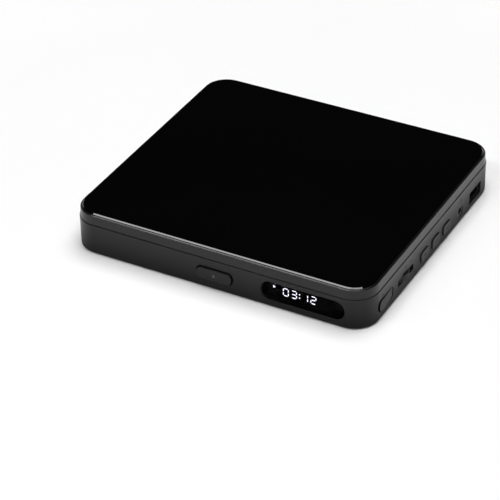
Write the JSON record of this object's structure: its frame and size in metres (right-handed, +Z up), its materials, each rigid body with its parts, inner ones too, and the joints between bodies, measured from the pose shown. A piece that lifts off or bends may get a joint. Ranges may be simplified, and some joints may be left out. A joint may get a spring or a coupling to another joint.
{
  "type": "mini dvd player",
  "caption": "Compact top-loading disc player: flat box with a hinged lid over the disc well, a front display window and open button, and side keys, wheel, rocker and sockets.",
  "frame": {"origin": "centre of the case in plan, on the surface that the feet stand on", "axes": "+X to the right as seen from the front, +Y to the back (hinge side), +Z up"},
  "size_m": [0.1608, 0.1511, 0.0225],
  "materials": {
    "case_black": "fine-grained satin black moulding",
    "deck_black": "matt black moulding",
    "panel_gloss": "piano-black gloss",
    "control_black": "satin black",
    "smoked_window": "smoked clear plastic",
    "digit_block": "dark block with white lit digits",
    "dark_part": "black moulding",
    "switch_plunger": "natural white plastic",
    "board_green": "green solder resist",
    "rubber": "matt black rubber",
    "steel": "bright plated steel",
    "motor_metal": "plated steel and copper windings",
    "capacitor_can": "aluminium can",
    "contact_brass": "gold-plated",
    "moving_plastic": "dark acetal",
    "lens_glass": "coated optical glass",
    "ribbon": "pale flat cable"
  },
  "bodies": {
    "base": {"base_tub": "case_black", "deck": "deck_black", "display_lens": "smoked_window", "display_digits": "digit_block", "infrared_receiver": "dark_part", "board_chips": "dark_part", "key_switches": "dark_part", "power_switch": "dark_part", "volume_pot": "dark_part", "headphone_jack": "dark_part", "sound_jack": "dark_part", "power_inlet": "dark_part", "media_port_tongue": "dark_part", "video_socket_tongue": "dark_part", "feed_motor": "dark_part", "main_board": "board_green", "display_board": "board_green", "key_board": "board_green", "feet": "rubber", "traverse_dampers": "rubber", "deck_screws": "steel", "hinge_pins": "steel", "board_screws": "steel", "traverse_screws": "steel", "guide_rods": "steel", "feed_gear_pin": "steel", "traverse_plate": "steel", "media_port_shell": "steel", "video_socket_shell": "steel", "spindle_motor_base": "motor_metal", "spindle_stator": "motor_metal", "board_capacitors": "capacitor_can", "media_port_contacts": "contact_brass", "rod_holders": "moving_plastic", "latch_tongue": "moving_plastic", "ribbon_socket": "moving_plastic", "pickup_ribbon": "ribbon"},
    "lid": {"lid_shell": "case_black", "lid_panel": "panel_gloss", "lid_bumpers": "rubber"},
    "open_button": {"open_button": "control_black"},
    "power_rocker": {"power_rocker": "control_black"},
    "volume_wheel": {"volume_wheel": "control_black"},
    "key_back": {"key_back": "control_black", "key_back_plunger": "switch_plunger"},
    "key_play": {"key_play": "control_black", "key_play_plunger": "switch_plunger"},
    "key_forward": {"key_forward": "control_black", "key_forward_plunger": "switch_plunger"},
    "spindle": {"spindle_rotor": "steel", "turntable": "moving_plastic", "turntable_pad": "rubber", "disc_clamp_balls": "steel"},
    "sled": {"pickup_sled": "moving_plastic", "actuator_yokes": "steel", "sled_rack": "moving_plastic"},
    "lens": {"lens_holder": "moving_plastic", "pickup_lens": "lens_glass"},
    "feed_gear": {"feed_gear": "moving_plastic"},
    "feed_pinion": {"feed_pinion": "moving_plastic"}
  },
  "joints": [
    {"name": "lid_hinge", "type": "hinge", "parent": "base", "child": "lid", "pos_m": [0, 0.07425, 0.0166], "axis": [-1, 0, 0], "range_deg": [0, 80], "deforming": ["latch_tongue"]},
    {"name": "open_button_press", "type": "slide", "parent": "base", "child": "open_button", "axis": [0, 1, 0], "range_m": [0, 0.0015], "stiffness_N_per_m": 1000, "deforming": ["latch_tongue"]},
    {"name": "power_rocker_tilt", "type": "hinge", "parent": "base", "child": "power_rocker", "pos_m": [0.0766, -0.0538, 0.0078], "axis": [0, 0, -1], "range_deg": [0, 6]},
    {"name": "volume_wheel_turn", "type": "hinge", "parent": "base", "child": "volume_wheel", "pos_m": [0.06985, -0.03185, 0.008], "axis": [0, 0, 1], "range_deg": [-150, 150]},
    {"name": "key_back_press", "type": "slide", "parent": "base", "child": "key_back", "axis": [-1, 0, 0], "range_m": [0, 0.0005], "stiffness_N_per_m": 1500},
    {"name": "key_play_press", "type": "slide", "parent": "base", "child": "key_play", "axis": [-1, 0, 0], "range_m": [0, 0.0005], "stiffness_N_per_m": 1500},
    {"name": "key_forward_press", "type": "slide", "parent": "base", "child": "key_forward", "axis": [-1, 0, 0], "range_m": [0, 0.0005], "stiffness_N_per_m": 1500},
    {"name": "spindle_spin", "type": "hinge", "parent": "base", "child": "spindle", "pos_m": [0, 0, 0.0135], "axis": [0, 0, 1], "continuous": true},
    {"name": "sled_slide", "type": "slide", "parent": "base", "child": "sled", "axis": [-1, 0, 0], "range_m": [0, 0.033], "deforming": ["pickup_ribbon"]},
    {"name": "lens_focus", "type": "slide", "parent": "sled", "child": "lens", "axis": [0, 0, 1], "range_m": [-0.0004, 0.0004], "stiffness_N_per_m": 40},
    {"name": "feed_gear_spin", "type": "hinge", "parent": "base", "child": "feed_gear", "pos_m": [-0.0405, 0.0305, 0.0082], "axis": [0, 0, -1], "range_deg": [0, 541]},
    {"name": "feed_pinion_spin", "type": "hinge", "parent": "base", "child": "feed_pinion", "pos_m": [-0.035, 0.04003, 0.0102], "axis": [0, 0, 1], "range_deg": [0, 1442]}
  ],
  "couplings": [
    {"joint": "feed_gear_spin", "follows": "sled_slide", "rad_per_m": 285.71},
    {"joint": "feed_pinion_spin", "follows": "sled_slide", "rad_per_m": 761.9}
  ]
}
